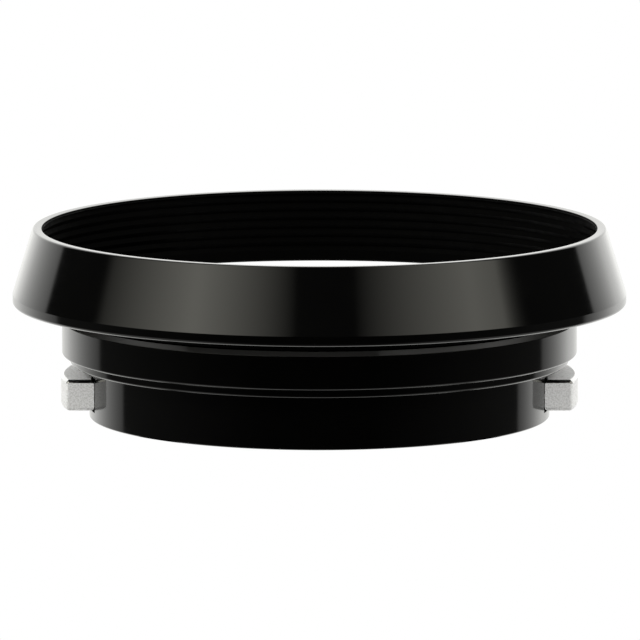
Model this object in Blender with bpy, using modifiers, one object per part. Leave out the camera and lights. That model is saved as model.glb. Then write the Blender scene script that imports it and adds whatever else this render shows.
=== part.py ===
"""Clip-on lens hood: a vented conical shade screwed into a filter barrel, on a collar with two push-buttons.

The origin is the centre of the collar's rear face, +Z points forward along the optical axis, and the two
buttons lie on X. Lengths are in millimetres here and become metres where a mesh is made.
"""

import math

import bmesh
import bpy
from mathutils import Matrix, Vector

MM = 0.001
TURN_STEPS = 64

# Heights above the rear face.
Z_STEP = 6.04
Z_BAND = 6.92
Z_BAND_SHOULDER = 10.72
Z_BAND_TOP = 11.20
Z_SKIRT = 12.56
Z_LIP_TOP = 13.70
Z_FRONT = 21.00

# Outer radii.
COLLAR_R = 25.53
STEP_R = 27.66
BAND_R = 28.55
NECK_R = 27.70
SKIRT_R = 34.00
RIM_R = 31.75

# Shade.
SHADE_WALL = 1.15
RIM_BEVEL = 0.25
SKIRT_BEVEL = 0.20
SKIRT_INNER_BEVEL = 0.30
RIDGE_COUNT = 7
RIDGE_PITCH = 1.03
RIDGE_DEPTH = 0.32
FIRST_ROOT = 0.45
NECK_BORE_R = 25.70
NECK_LIP_R = 24.60
NECK_LIP = 0.45
NECK_TOP = 12.62
NECK_THREAD_R = 26.75
NECK_BOTTOM = 8.55
THREAD_PITCH = 0.75
THREAD_DEPTH = 0.25
ARM_COUNT = 3
ARM_WIDTH_DEG = 45.0
FIRST_ARM_DEG = -99.0

# Filter barrel and collar.
STACK_GAP = 0.10
EDGE_BEVEL = 0.12
BARREL_BORE_R = 27.05
FLOOR_BORE_R = 22.80
SEAT_TOP = 7.95
BORE_R = 22.60
LENS_STOP_R = 21.90
LENS_STOP_Z = 6.45
CHANNEL_R = 24.95
CHANNEL_ROOF = 5.35
SLEEVE_R = 22.95
SLEEVE_BOTTOM = 3.85

# Latch cover.
COVER_R = 24.80
COVER_BOTTOM = 0.10
COVER_TOP = 1.00
LEAD_IN = 0.45

# Latch rings: each is a ring slide whose centre sits off the axis, towards its own button.
TRAVEL = 0.80
RING_INNER_R = 23.05
RING_OUTER_R = 24.30
PAD_INNER_R = 22.85
PAD_OUTER_R = 24.65
PAD_HALF_DEG = 17.0
TOOTH_HALF_DEG = 10.0
TOOTH_REACH = 0.55
RING_THICKNESS = 0.80
LOWER_RING_Z = 1.75
UPPER_RING_Z = 2.75
LUG_HALF = 3.00
LUG_END = 27.00
EAR_X = 0.45
EAR_THICKNESS = 0.50
EAR_WIDTH = 0.60
EAR_TOP = 5.10
EAR_SLOT_WIDTH = 1.00

# Guide screws and springs.
GUIDE_X = 4.60
GUIDE_Y = 23.30
GUIDE_SHANK_R = 0.45
GUIDE_SEAT_R = 0.68
GUIDE_SEAT_Z = 3.90
GUIDE_SEAT_TOP = 5.15
GUIDE_TOP = 6.60
GUIDE_HEAD_R = 0.95
RUNNING_GAP = 0.12
SPRING_Y = 23.60
SPRING_Z = 4.52
SPRING_MEAN_R = 0.48
WIRE_R = 0.085
SPRING_TURNS = 4.5
POINTS_PER_TURN = 9
SPRING_END_GAP = 0.08

# Buttons.
BUTTON_APEX = 28.67
BUTTON_CORNER = 27.90
BUTTON_INNER = 25.05
BUTTON_HALF = 5.80
BUTTON_BOTTOM = 1.25
BUTTON_TOP = 4.72
BUTTON_BEVEL = 0.22
WINDOW_GAP = 0.20
RELIEF_HALF = 5.40
RELIEF_DEPTH = 0.65
LUG_GAP = 0.10

# Small screws.
BUTTON_SCREW_X = 26.20
BUTTON_SCREW_Y = 1.90
BUTTON_SCREW_R = 0.40
BUTTON_SCREW_HEAD_R = 0.72
BUTTON_SCREW_HEAD = 0.35
BUTTON_SCREW_LENGTH = 0.75
BARREL_SCREW_CIRCLE_R = 24.40
BARREL_SCREW_R = 0.50
BARREL_SCREW_HEAD_R = 0.90
BARREL_SCREW_HEAD = 0.45
BARREL_SCREW_BOTTOM = 5.75
SCREW_STEPS = 12
SLOT_WIDTH = 0.22
SLOT_DEPTH = 0.16


def clear_scene():
    for obj in list(bpy.data.objects):
        bpy.data.objects.remove(obj)


def new_collection(name):
    collection = bpy.data.collections.new(name)
    bpy.context.scene.collection.children.link(collection)
    return collection


clear_scene()
HOOD = new_collection("lens_hood")
CUTTERS = new_collection("cutters")
CUTTERS.hide_render = True


def material(name, color, metallic, roughness):
    made = bpy.data.materials.new(name)
    made.use_nodes = True
    shader = made.node_tree.nodes["Principled BSDF"]
    shader.inputs["Base Color"].default_value = (*color, 1.0)
    shader.inputs["Metallic"].default_value = metallic
    shader.inputs["Roughness"].default_value = roughness
    return made


ANODISED = material("anodised", (0.012, 0.012, 0.012), 0.6, 0.28)
CHROME = material("satin_chrome", (0.78, 0.78, 0.77), 1.0, 0.32)
STEEL = material("spring_steel", (0.55, 0.55, 0.56), 1.0, 0.35)
BRASS = material("latch_brass", (0.10, 0.08, 0.045), 1.0, 0.40)
BLACK_STEEL = material("black_screw", (0.03, 0.03, 0.03), 0.8, 0.35)


def add_object(name, mesh, collection, finish=None):
    obj = bpy.data.objects.new(name, mesh)
    collection.objects.link(obj)
    if finish:
        mesh.materials.clear()
        mesh.materials.append(finish)
    if collection is CUTTERS:
        obj.hide_render = True
        obj.display_type = "WIRE"
    return obj


def smooth(obj, degrees=30.0):
    obj.data.shade_smooth()
    obj.data.set_sharp_from_angle(angle=math.radians(degrees))


def facing_out(bm):
    bmesh.ops.recalc_face_normals(bm, faces=bm.faces)


def mesh_from(name, build):
    """A mesh made by build(bm) in millimetres, scaled to metres."""
    bm = bmesh.new()
    build(bm)
    bmesh.ops.scale(bm, vec=(MM, MM, MM), verts=bm.verts)
    facing_out(bm)
    mesh = bpy.data.meshes.new(name)
    bm.to_mesh(mesh)
    bm.free()
    return mesh


def spun(bm, profile, degrees=360.0, start=0.0, steps=TURN_STEPS):
    """The closed (radius, height) profile swept about the Z axis from the start angle."""
    verts = [bm.verts.new((radius, 0.0, height)) for radius, height in profile]
    face = bm.faces.new(verts)
    bmesh.ops.rotate(bm, verts=verts, cent=(0, 0, 0), matrix=Matrix.Rotation(math.radians(start), 3, "Z"))
    whole = degrees >= 360.0
    bmesh.ops.spin(
        bm,
        geom=[face, *face.edges, *verts] if not whole else list(face.edges),
        cent=(0, 0, 0),
        axis=(0, 0, 1),
        angle=math.radians(degrees),
        steps=steps,
        use_merge=whole,
    )
    if whole:
        bm.faces.remove(face)
        bmesh.ops.remove_doubles(bm, verts=bm.verts, dist=1e-5)


def turned(name, profile, collection, finish=None, steps=TURN_STEPS):
    obj = add_object(name, mesh_from(name, lambda bm: spun(bm, profile, steps=steps)), collection, finish)
    if collection is HOOD:
        smooth(obj)
    return obj


def cylinder(bm, radius, low, high, x=0.0, y=0.0, top_radius=None, steps=SCREW_STEPS):
    middle = Matrix.Translation((x, y, (low + high) / 2))
    bmesh.ops.create_cone(
        bm,
        cap_ends=True,
        segments=steps,
        radius1=radius,
        radius2=radius if top_radius is None else top_radius,
        depth=high - low,
        matrix=middle,
    )


def block(bm, low, high):
    size = Vector(high) - Vector(low)
    middle = (Vector(high) + Vector(low)) / 2
    bmesh.ops.create_cube(bm, size=1.0, matrix=Matrix.Translation(middle) @ Matrix.Diagonal((*size, 1.0)))


def cutter(name, build):
    return add_object(name, mesh_from(name, build), CUTTERS)


def boolean(obj, other, operation="DIFFERENCE"):
    step = obj.modifiers.new(other.name, "BOOLEAN")
    step.operation = operation
    step.object = other
    step.solver = "EXACT"


def bevel(obj, width, segments=1, angle=40.0):
    step = obj.modifiers.new("edges", "BEVEL")
    step.width = width * MM
    step.segments = segments
    step.limit_method = "ANGLE"
    step.angle_limit = math.radians(angle)


def outline_plate(name, outlines, low, high, finish=None, collection=HOOD):
    """A flat plate between two heights, from closed outlines: its edge first, and then its holes."""
    curve = bpy.data.curves.new(name, "CURVE")
    curve.dimensions = "2D"
    curve.fill_mode = "BOTH"
    curve.extrude = (high - low) / 2 * MM
    for outline in outlines:
        spline = curve.splines.new("POLY")
        spline.points.add(len(outline) - 1)
        spline.use_cyclic_u = True
        for point, (x, y) in zip(spline.points, outline):
            point.co = (x * MM, y * MM, 0.0, 1.0)
    guide = bpy.data.objects.new(name + "_outline", curve)
    CUTTERS.objects.link(guide)
    guide.location.z = (high + low) / 2 * MM
    bpy.context.view_layer.update()
    evaluated = guide.evaluated_get(bpy.context.evaluated_depsgraph_get())
    mesh = bpy.data.meshes.new_from_object(evaluated)
    mesh.transform(guide.matrix_world)
    bpy.data.objects.remove(guide)
    bm = bmesh.new()
    bm.from_mesh(mesh)
    bmesh.ops.remove_doubles(bm, verts=bm.verts, dist=1e-7)
    facing_out(bm)
    bm.to_mesh(mesh)
    bm.free()
    return add_object(name, mesh, collection, finish)


def polar(radius, degrees):
    angle = math.radians(degrees)
    return radius * math.cos(angle), radius * math.sin(angle)


def arc(radius, start, end, steps):
    return [polar(radius, start + (end - start) * i / steps) for i in range(steps + 1)]


# Shade: cone, neck with its thread, and the three arms between them.


def outer_cone_r(height):
    """Radius of the shade's outer wall: upright on the lip, then sloping in to the rim."""
    if height <= Z_LIP_TOP:
        return SKIRT_R
    return SKIRT_R + (RIM_R - SKIRT_R) * (height - Z_LIP_TOP) / (Z_FRONT - Z_LIP_TOP)


def ridge_points():
    """Points of the anti-reflection ridges, from the front backwards: each has a crest and a root."""
    points = []
    for i in range(RIDGE_COUNT):
        root_z = Z_FRONT - FIRST_ROOT - i * RIDGE_PITCH
        crest_z = root_z - 0.5 * RIDGE_PITCH
        points.append((outer_cone_r(root_z) - SHADE_WALL + RIDGE_DEPTH, root_z))
        points.append((outer_cone_r(crest_z) - SHADE_WALL, crest_z))
    return points


def shade_profile():
    inner_r = SKIRT_R - SHADE_WALL
    return [
        (RIM_R - RIM_BEVEL, Z_FRONT),
        (RIM_R + 0.05, Z_FRONT - RIM_BEVEL),
        (SKIRT_R, Z_LIP_TOP),
        (SKIRT_R, Z_SKIRT + SKIRT_BEVEL),
        (SKIRT_R - SKIRT_BEVEL, Z_SKIRT),
        (inner_r + SKIRT_INNER_BEVEL, Z_SKIRT),
        (inner_r, Z_SKIRT + SKIRT_INNER_BEVEL),
        *reversed(ridge_points()),
        (RIM_R - SHADE_WALL, Z_FRONT - 0.15),
        (RIM_R - SHADE_WALL, Z_FRONT),
    ]


def thread_points(radius, high, low, depth):
    """Crests and roots of a thread's section, running down the outer side."""
    points = []
    turns = int((high - low) / THREAD_PITCH)
    for i in range(turns):
        top = high - i * THREAD_PITCH
        points.append((radius, top - 0.15 * THREAD_PITCH))
        points.append((radius - depth, top - 0.55 * THREAD_PITCH))
    points.append((radius, high - turns * THREAD_PITCH - 0.05))
    return points


def neck_profile():
    shoulder = Z_BAND_TOP + STACK_GAP
    return [
        (NECK_R - 0.1, NECK_TOP),
        (NECK_R, NECK_TOP - 0.1),
        (NECK_R, shoulder),
        (NECK_THREAD_R, shoulder),
        *thread_points(NECK_THREAD_R, shoulder - 0.3, NECK_BOTTOM + 0.2, THREAD_DEPTH),
        (NECK_THREAD_R - 0.2, NECK_BOTTOM),
        (NECK_BORE_R, NECK_BOTTOM),
        (NECK_BORE_R, NECK_TOP - NECK_LIP),
        (NECK_LIP_R, NECK_TOP - NECK_LIP),
        (NECK_LIP_R, NECK_TOP),
    ]


def arm_profile():
    root_r = (NECK_R + NECK_BORE_R) / 2
    end_r = SKIRT_R - SHADE_WALL / 2
    return [
        (root_r, NECK_TOP - 0.12),
        (end_r, Z_SKIRT + 0.45),
        (end_r, Z_SKIRT + 0.12),
        (NECK_R + 0.4, Z_BAND_TOP + 0.30),
        (root_r, Z_BAND_TOP + 0.30),
    ]


def arm(index):
    start = FIRST_ARM_DEG + index * 360.0 / ARM_COUNT - ARM_WIDTH_DEG / 2
    steps = round(ARM_WIDTH_DEG / 360.0 * TURN_STEPS)
    return cutter(f"arm_{index + 1}", lambda bm: spun(bm, arm_profile(), ARM_WIDTH_DEG, start, steps))


def make_shade():
    shade = turned("shade", shade_profile(), HOOD, ANODISED)
    neck = turned("neck", neck_profile(), CUTTERS)
    for index in range(ARM_COUNT):
        boolean(shade, arm(index), "UNION")
    boolean(shade, neck, "UNION")
    return shade


# Filter barrel.


def barrel_profile():
    bottom = Z_BAND + STACK_GAP
    thread = thread_points(BARREL_BORE_R + THREAD_DEPTH, Z_BAND_TOP - 0.3, SEAT_TOP + 0.4, THREAD_DEPTH)
    return [
        (BAND_R - 0.55, Z_BAND_TOP),
        (BAND_R, Z_BAND_SHOULDER),
        (BAND_R, bottom + EDGE_BEVEL),
        (BAND_R - EDGE_BEVEL, bottom),
        (FLOOR_BORE_R, bottom),
        (FLOOR_BORE_R, SEAT_TOP - 0.25),
        (FLOOR_BORE_R + 0.25, SEAT_TOP),
        (BARREL_BORE_R, SEAT_TOP),
        *reversed(thread),
        (BARREL_BORE_R + 0.15, Z_BAND_TOP),
    ]


def barrel_screw_places():
    return [polar(BARREL_SCREW_CIRCLE_R, 45.0 + 90.0 * i) for i in range(4)]


def make_barrel():
    barrel = turned("filter_barrel", barrel_profile(), HOOD, ANODISED)

    def holes(bm):
        for x, y in barrel_screw_places():
            cylinder(bm, BARREL_SCREW_R + RUNNING_GAP, Z_BAND - 1, SEAT_TOP + 1, x, y)

    def recesses(bm):
        for x, y in barrel_screw_places():
            low = SEAT_TOP - BARREL_SCREW_HEAD - RUNNING_GAP
            cylinder(bm, BARREL_SCREW_HEAD_R + RUNNING_GAP, low, SEAT_TOP + 1, x, y)

    boolean(barrel, cutter("barrel_screw_holes", holes))
    boolean(barrel, cutter("barrel_screw_recesses", recesses))
    return barrel


# Mount collar with the latch channel, the button windows and its screw holes.


def collar_profile():
    return [
        (STEP_R, Z_BAND),
        (STEP_R, Z_STEP + EDGE_BEVEL),
        (STEP_R - EDGE_BEVEL, Z_STEP),
        (COLLAR_R, Z_STEP),
        (COLLAR_R, EDGE_BEVEL),
        (COLLAR_R - EDGE_BEVEL, 0.0),
        (CHANNEL_R, 0.0),
        (CHANNEL_R, CHANNEL_ROOF),
        (SLEEVE_R, CHANNEL_ROOF),
        (SLEEVE_R, SLEEVE_BOTTOM),
        (BORE_R, SLEEVE_BOTTOM),
        (BORE_R, LENS_STOP_Z),
        (LENS_STOP_R, LENS_STOP_Z),
        (LENS_STOP_R, Z_BAND - 0.2),
        (LENS_STOP_R + 0.2, Z_BAND),
    ]


def guide_places():
    return [(x, y) for y in (-GUIDE_Y, GUIDE_Y) for x in (-GUIDE_X, GUIDE_X)]


def make_collar():
    collar = turned("mount_collar", collar_profile(), HOOD, ANODISED)
    half = BUTTON_HALF + WINDOW_GAP
    low = BUTTON_BOTTOM - WINDOW_GAP
    high = BUTTON_TOP + WINDOW_GAP

    def windows(bm):
        block(bm, (-COLLAR_R - 1, -half, low), (-CHANNEL_R + 1.2, half, high))
        block(bm, (CHANNEL_R - 1.2, -half, low), (COLLAR_R + 1, half, high))

    def holes(bm):
        for x, y in guide_places():
            cylinder(bm, GUIDE_SHANK_R + RUNNING_GAP, CHANNEL_ROOF - 0.5, GUIDE_TOP + RUNNING_GAP, x, y)
        for x, y in barrel_screw_places():
            cylinder(bm, BARREL_SCREW_R + RUNNING_GAP, BARREL_SCREW_BOTTOM - RUNNING_GAP, Z_BAND + 1, x, y)

    boolean(collar, cutter("button_windows", windows))
    boolean(collar, cutter("collar_screw_holes", holes))
    return collar


# Latch cover.


def make_cover():
    profile = [
        (COVER_R, COVER_TOP),
        (COVER_R, COVER_BOTTOM),
        (BORE_R + LEAD_IN, COVER_BOTTOM),
        (BORE_R, COVER_BOTTOM + LEAD_IN),
        (BORE_R, COVER_TOP),
    ]
    cover = turned("latch_cover", profile, HOOD, ANODISED)

    def holes(bm):
        for x, y in guide_places():
            cylinder(bm, GUIDE_SHANK_R + RUNNING_GAP, COVER_BOTTOM - 1, COVER_TOP + 1, x, y)

    def sinks(bm):
        wide = GUIDE_HEAD_R + RUNNING_GAP
        depth = wide - GUIDE_SHANK_R
        for x, y in guide_places():
            cylinder(bm, wide + 0.2, COVER_BOTTOM - 0.2, COVER_BOTTOM + depth, x, y, GUIDE_SHANK_R)

    boolean(cover, cutter("cover_holes", holes))
    boolean(cover, cutter("cover_sinks", sinks))
    return cover


# Latch rings. Built for the left button, with its tooth at +X; the right one is turned half a turn.


def ring_edge(plain, pad):
    """Closed outline of a ring's inner or outer edge, with a pad on both sides parallel to the travel."""
    points = []
    pad_start = 90.0 - PAD_HALF_DEG
    for side in (0.0, 180.0):
        points += arc(pad, side + pad_start, side + 180.0 - pad_start, 6)
        points += arc(plain, side + 180.0 - pad_start, side + 180.0 + pad_start, 26)
    return points


def slot_outline(x_low, x_high, y, width):
    """A slot along X with round ends."""
    radius = width / 2
    right = [(x_high - radius + dx, y + dy) for dx, dy in arc(radius, -90.0, 90.0, 6)]
    left = [(x_low + radius + dx, y + dy) for dx, dy in arc(radius, 90.0, 270.0, 6)]
    return right + left


def make_latch_ring(name, low, through_ears, direction):
    """direction is -1 for the ring of the left button and +1 for that of the right."""
    high = low + RING_THICKNESS
    offset = -TRAVEL / 2

    def shifted(points):
        return [(x + offset, y) for x, y in points]

    ring = outline_plate(
        name,
        [shifted(ring_edge(RING_OUTER_R, PAD_OUTER_R)), shifted(ring_edge(RING_INNER_R, PAD_INNER_R))],
        low,
        high,
        BRASS,
    )

    def lug(bm):
        root = -RING_OUTER_R + offset + 0.35
        block(bm, (-LUG_END, -LUG_HALF, low), (root, LUG_HALF, high))

    def tooth(bm):
        tip = RING_INNER_R - TOOTH_REACH
        middle = (RING_INNER_R + RING_OUTER_R) / 2
        profile = [(middle, high), (middle, low), (tip + 0.3, low), (tip, low + 0.35), (tip, high)]
        spun(bm, profile, 2 * TOOTH_HALF_DEG, -TOOTH_HALF_DEG, 6)
        bmesh.ops.translate(bm, verts=bm.verts, vec=(offset, 0, 0))

    def ears(bm):
        for y in (-SPRING_Y, SPRING_Y):
            near = EAR_X - EAR_THICKNESS / 2
            half = EAR_WIDTH / 2
            block(bm, (near, y - half, low + 0.3), (near + EAR_THICKNESS, y + half, EAR_TOP))

    boolean(ring, cutter(name + "_lug", lug), "UNION")
    boolean(ring, cutter(name + "_tooth", tooth), "UNION")
    boolean(ring, cutter(name + "_ears", ears), "UNION")

    def slots(bm):
        slack = GUIDE_SHANK_R + RUNNING_GAP
        for x, y in guide_places():
            outline = slot_outline(x - TRAVEL - slack, x + slack, y, 2 * slack)
            low_face = bm.faces.new([bm.verts.new((px, py, low - 1)) for px, py in outline])
            made = bmesh.ops.extrude_face_region(bm, geom=[low_face])
            top = [v for v in made["geom"] if isinstance(v, bmesh.types.BMVert)]
            bmesh.ops.translate(bm, verts=top, vec=(0, 0, RING_THICKNESS + 2))

    def screw_holes(bm):
        for y in (-BUTTON_SCREW_Y, BUTTON_SCREW_Y):
            cylinder(bm, BUTTON_SCREW_R + RUNNING_GAP, low - 1, high + 1, -BUTTON_SCREW_X, y)

    boolean(ring, cutter(name + "_guide_slots", slots))
    boolean(ring, cutter(name + "_screw_holes", screw_holes))
    if through_ears:
        half = EAR_SLOT_WIDTH / 2
        near = EAR_X - EAR_THICKNESS / 2 - 0.2

        def ear_slots(bm):
            for y in (-SPRING_Y, SPRING_Y):
                far = -near - EAR_THICKNESS - 0.4 - 2 * TRAVEL
                block(bm, (far, y - half, low - 1), (-near, y + half, high + 1))

        boolean(ring, cutter(name + "_ear_slots", ear_slots))
    if direction > 0:
        half_turn = Matrix.Rotation(math.pi, 4, "Z")
        ring.data.transform(half_turn)
        for step in ring.modifiers:
            step.object.data.transform(half_turn)
    return ring


# Buttons.


def button_outline():
    """Outline in plan for the left button: an arched outer face, flat ends and a flat inner face."""
    sagitta = BUTTON_APEX - BUTTON_CORNER
    radius = (BUTTON_HALF**2 + sagitta**2) / (2 * sagitta)
    half = math.degrees(math.asin(BUTTON_HALF / radius))
    centre = -BUTTON_APEX + radius
    outer = [(centre + x, y) for x, y in arc(radius, 180.0 - half, 180.0 + half, 10)]
    return [*outer, (-BUTTON_INNER, -BUTTON_HALF), (-BUTTON_INNER, BUTTON_HALF)]


def make_button(name, ring_low, direction):
    button = outline_plate(name, [button_outline()], BUTTON_BOTTOM, BUTTON_TOP, CHROME)
    bevel(button, BUTTON_BEVEL, 2)
    lug_top = ring_low + RING_THICKNESS + LUG_GAP

    def relief(bm):
        low = LOWER_RING_Z - 0.2
        high = UPPER_RING_Z + RING_THICKNESS + 0.2
        inner = -BUTTON_INNER + 1
        block(bm, (-BUTTON_INNER - RELIEF_DEPTH, -RELIEF_HALF, low), (inner, RELIEF_HALF, high))

    def lug_seat(bm):
        half = LUG_HALF + LUG_GAP
        block(bm, (-LUG_END - LUG_GAP, -half, BUTTON_BOTTOM - 1), (-BUTTON_INNER + 1, half, lug_top))

    def screw_holes(bm):
        top = ring_low + RING_THICKNESS + BUTTON_SCREW_LENGTH + 2 * RUNNING_GAP
        for y in (-BUTTON_SCREW_Y, BUTTON_SCREW_Y):
            cylinder(bm, BUTTON_SCREW_R + RUNNING_GAP, BUTTON_BOTTOM, top, -BUTTON_SCREW_X, y)

    boolean(button, cutter(name + "_relief", relief))
    boolean(button, cutter(name + "_lug_seat", lug_seat))
    boolean(button, cutter(name + "_screw_holes", screw_holes))
    if direction > 0:
        half_turn = Matrix.Rotation(math.pi, 4, "Z")
        button.data.transform(half_turn)
        for step in button.modifiers:
            if step.type == "BOOLEAN":
                step.object.data.transform(half_turn)
    smooth(button)
    return button


# Springs.


def make_spring(name, x_from, x_to, y):
    """A round-wire coil spring along X, at rest."""
    curve = bpy.data.curves.new(name, "CURVE")
    curve.dimensions = "3D"
    curve.bevel_depth = WIRE_R * MM
    curve.bevel_resolution = 2
    curve.use_fill_caps = True
    count = int(SPRING_TURNS * POINTS_PER_TURN)
    spline = curve.splines.new("POLY")
    spline.points.add(count)
    first = x_from + WIRE_R
    last = x_to - WIRE_R
    for i in range(count + 1):
        angle = 2 * math.pi * i / POINTS_PER_TURN
        along = first + (last - first) * i / count
        across = SPRING_MEAN_R * math.cos(angle)
        up = SPRING_MEAN_R * math.sin(angle)
        spline.points[i].co = (along * MM, (y + across) * MM, (SPRING_Z + up) * MM, 1.0)
    spring = bpy.data.objects.new(name, curve)
    spring.data.materials.append(STEEL)
    HOOD.objects.link(spring)
    return spring


def make_springs():
    """Each spring pushes from a guide screw's seat against an ear of its own latch ring."""
    ear_face = EAR_X + EAR_THICKNESS / 2 + SPRING_END_GAP
    seat_face = GUIDE_X - GUIDE_SEAT_R - SPRING_END_GAP
    for side, sign in (("left", 1), ("right", -1)):
        for place, y in (("near", -SPRING_Y), ("far", SPRING_Y)):
            low, high = sorted((sign * ear_face, sign * seat_face))
            make_spring(f"{side}_spring_{place}", low, high, y)


# Screws: each is turned about its own axis, with a slot across the head.


def make_screw(name, profile, place, slot_low, slot_high, finish):
    x, y = place
    screw = turned(name, profile, HOOD, finish, SCREW_STEPS)
    half = SLOT_WIDTH / 2

    def slot(bm):
        block(bm, (-2, -half, slot_low), (2, half, slot_high))

    slotter = cutter(name + "_slot", slot)
    boolean(screw, slotter)
    for obj in (screw, slotter):
        obj.location = (x * MM, y * MM, 0)
        obj.rotation_euler.z = math.atan2(y, x)
    return screw


def guide_screw_profile():
    """Countersunk head below, running shank through the latch rings, spring seat, and a threaded tip."""
    head_bottom = COVER_BOTTOM + 0.05
    shank_start = head_bottom + GUIDE_HEAD_R - GUIDE_SHANK_R
    return [
        (0.0, GUIDE_TOP),
        (GUIDE_SHANK_R - 0.12, GUIDE_TOP),
        (GUIDE_SHANK_R, GUIDE_TOP - 0.12),
        (GUIDE_SHANK_R, GUIDE_SEAT_TOP),
        (GUIDE_SEAT_R, GUIDE_SEAT_TOP),
        (GUIDE_SEAT_R, GUIDE_SEAT_Z),
        (GUIDE_SHANK_R, GUIDE_SEAT_Z),
        (GUIDE_SHANK_R, shank_start),
        (GUIDE_HEAD_R, head_bottom),
        (0.0, head_bottom),
    ]


def make_guide_screws():
    for index, place in enumerate(guide_places()):
        bottom = COVER_BOTTOM + 0.05
        make_screw(
            f"guide_screw_{index + 1}",
            guide_screw_profile(),
            place,
            bottom - 1,
            bottom + SLOT_DEPTH,
            BLACK_STEEL,
        )


def make_barrel_screws():
    head_top = SEAT_TOP - 0.05
    head_low = head_top - BARREL_SCREW_HEAD
    profile = [
        (0.0, head_top),
        (BARREL_SCREW_HEAD_R - 0.1, head_top),
        (BARREL_SCREW_HEAD_R, head_top - 0.1),
        (BARREL_SCREW_HEAD_R, head_low),
        (BARREL_SCREW_R, head_low),
        (BARREL_SCREW_R, BARREL_SCREW_BOTTOM),
        (0.0, BARREL_SCREW_BOTTOM),
    ]
    for index, place in enumerate(barrel_screw_places()):
        slot_low = head_top - SLOT_DEPTH
        make_screw(f"barrel_screw_{index + 1}", profile, place, slot_low, head_top + 1, BLACK_STEEL)


def make_button_screws(side, ring_low, direction):
    head_top = ring_low - 0.02
    head_low = head_top - BUTTON_SCREW_HEAD
    tip = ring_low + RING_THICKNESS + LUG_GAP + BUTTON_SCREW_LENGTH - RUNNING_GAP
    profile = [
        (0.0, tip),
        (BUTTON_SCREW_R, tip),
        (BUTTON_SCREW_R, head_top),
        (BUTTON_SCREW_HEAD_R, head_top),
        (BUTTON_SCREW_HEAD_R, head_low + 0.08),
        (BUTTON_SCREW_HEAD_R - 0.08, head_low),
        (0.0, head_low),
    ]
    for index, y in enumerate((-BUTTON_SCREW_Y, BUTTON_SCREW_Y)):
        place = (direction * BUTTON_SCREW_X, y)
        slot_high = head_low + SLOT_DEPTH
        make_screw(f"{side}_button_screw_{index + 1}", profile, place, head_low - 1, slot_high, STEEL)


make_shade()
make_barrel()
make_collar()
make_cover()
make_latch_ring("left_latch_ring", LOWER_RING_Z, False, -1)
make_latch_ring("right_latch_ring", UPPER_RING_Z, True, 1)
make_button("left_button", LOWER_RING_Z, -1)
make_button("right_button", UPPER_RING_Z, 1)
make_guide_screws()
make_barrel_screws()
make_button_screws("left", LOWER_RING_Z, -1)
make_button_screws("right", UPPER_RING_Z, 1)
make_springs()
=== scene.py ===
"""Looks of the clip-on lens hood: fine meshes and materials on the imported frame, and a studio.

Lengths of the hood are in millimetres and become metres where a mesh is made. The studio and the
camera are in metres. Angles are in degrees.
"""

import math

import bmesh
import bpy
from mathutils import Matrix, Vector


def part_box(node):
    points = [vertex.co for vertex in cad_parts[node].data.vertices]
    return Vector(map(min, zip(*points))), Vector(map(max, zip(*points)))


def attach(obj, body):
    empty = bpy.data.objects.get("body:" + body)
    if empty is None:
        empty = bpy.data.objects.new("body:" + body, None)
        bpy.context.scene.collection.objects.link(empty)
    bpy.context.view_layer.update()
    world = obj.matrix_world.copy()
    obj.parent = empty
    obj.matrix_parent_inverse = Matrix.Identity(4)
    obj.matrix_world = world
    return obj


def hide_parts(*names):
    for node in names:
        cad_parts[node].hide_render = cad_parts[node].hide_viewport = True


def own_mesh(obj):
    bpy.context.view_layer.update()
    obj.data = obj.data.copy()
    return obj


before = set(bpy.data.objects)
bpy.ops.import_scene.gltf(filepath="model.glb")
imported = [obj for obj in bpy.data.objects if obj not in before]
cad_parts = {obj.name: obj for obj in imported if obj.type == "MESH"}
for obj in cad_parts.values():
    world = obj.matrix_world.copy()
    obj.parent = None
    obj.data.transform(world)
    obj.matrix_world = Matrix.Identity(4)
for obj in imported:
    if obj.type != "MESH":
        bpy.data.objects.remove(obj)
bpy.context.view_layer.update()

MM = 0.001
TURN_STEPS = 288


def reach(node):
    """(half width along X, lowest height, highest height) of a CAD node."""
    low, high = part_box(node)
    return high.x / MM, low.z / MM, high.z / MM


SKIRT_R, NECK_BOTTOM, Z_FRONT = reach("shade")
BAND_R, BARREL_BOTTOM, BARREL_TOP = reach("filter_barrel")
STEP_R, Z_REAR, COLLAR_TOP = reach("mount_collar")
COVER_R, COVER_BOTTOM, COVER_TOP = reach("latch_cover")

# Shade.
RIM_R = 31.75
SHADE_WALL = 1.15
RIM_WALL = 0.98
RIM_DISH = 0.025
RIM_FLAT = 0.35
RIM_FILLET = 0.22
SKIRT_FILLET = 0.36
INNER_SKIRT_FILLET = 0.50
Z_LIP_TOP = 13.70
Z_SKIRT = 12.56
RIDGE_COUNT = 7
RIDGE_PITCH = 1.03
RIDGE_DEPTH = 0.32
FIRST_ROOT = 0.45
NECK_R = 27.70
NECK_BORE_R = 25.70
NECK_LIP_R = 24.60
NECK_LIP = 0.45
NECK_TOP = 12.62
NECK_THREAD_R = 26.75
ARM_COUNT = 3
ARM_WIDTH_DEG = 45.0
FIRST_ARM_DEG = -99.0
THREAD_PITCH = 0.75
THREAD_DEPTH = 0.25

# Filter barrel and collar.
BARREL_SHOULDER = 10.72
BARREL_CHAMFER = 0.55
BAND_FILLET = 0.24
BARREL_BORE_R = 27.05
FLOOR_BORE_R = 22.80
SEAT_TOP = 7.95
Z_STEP = 6.04
STEP_FILLET = 0.25
COLLAR_R = 25.53
CHANNEL_R = 24.95
CHANNEL_ROOF = 5.35
SLEEVE_R = 22.95
SLEEVE_BOTTOM = 3.85
BORE_R = 22.60
LENS_STOP_R = 21.90
LENS_STOP_Z = 6.45
LEAD_IN = 0.45

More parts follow.
